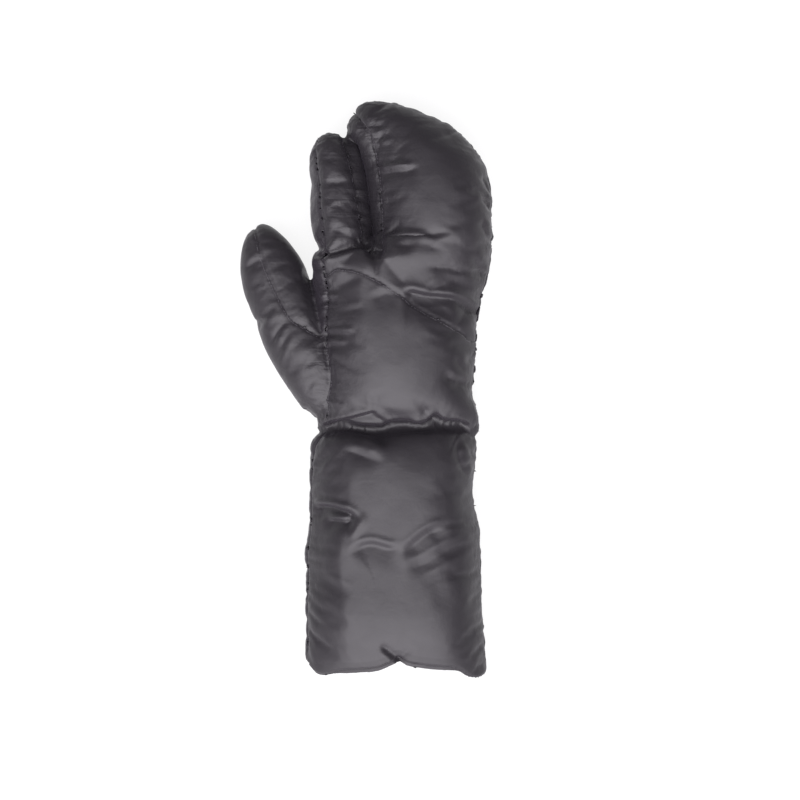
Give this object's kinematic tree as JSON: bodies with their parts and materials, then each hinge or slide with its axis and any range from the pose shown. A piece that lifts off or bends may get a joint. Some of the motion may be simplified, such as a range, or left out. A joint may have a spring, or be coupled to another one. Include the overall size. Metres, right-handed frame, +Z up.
{
  "type": "lobster claw mitt",
  "caption": "Padded lobster claw mitt with a long gauntlet, a thumb, a free index finger and one pouch for the other fingers, lying palm down.",
  "frame": {"origin": "middle of the mitt's outline seen from above, on the surface that it lies on", "axes": "+Z up, out of the back of the hand; +Y from the cuff to the fingertips; -X the thumb's side"},
  "size_m": [0.1676, 0.3906, 0.0643],
  "materials": {
    "shell_nylon": "calendered nylon taffeta, satin sheen",
    "underside_nylon": "nylon taffeta, slightly duller",
    "hem_nylon": "turned nylon taffeta hem"
  },
  "bodies": {
    "root": {"cuff_hem": "hem_nylon", "gauntlet_back": "shell_nylon", "gauntlet_palm": "underside_nylon", "hand_back": "shell_nylon", "finger_back": "shell_nylon", "palm": "underside_nylon", "index_palm": "underside_nylon", "finger_gusset": "shell_nylon", "thumb_outer": "shell_nylon", "thumb_inner": "shell_nylon"}
  },
  "joints": []
}
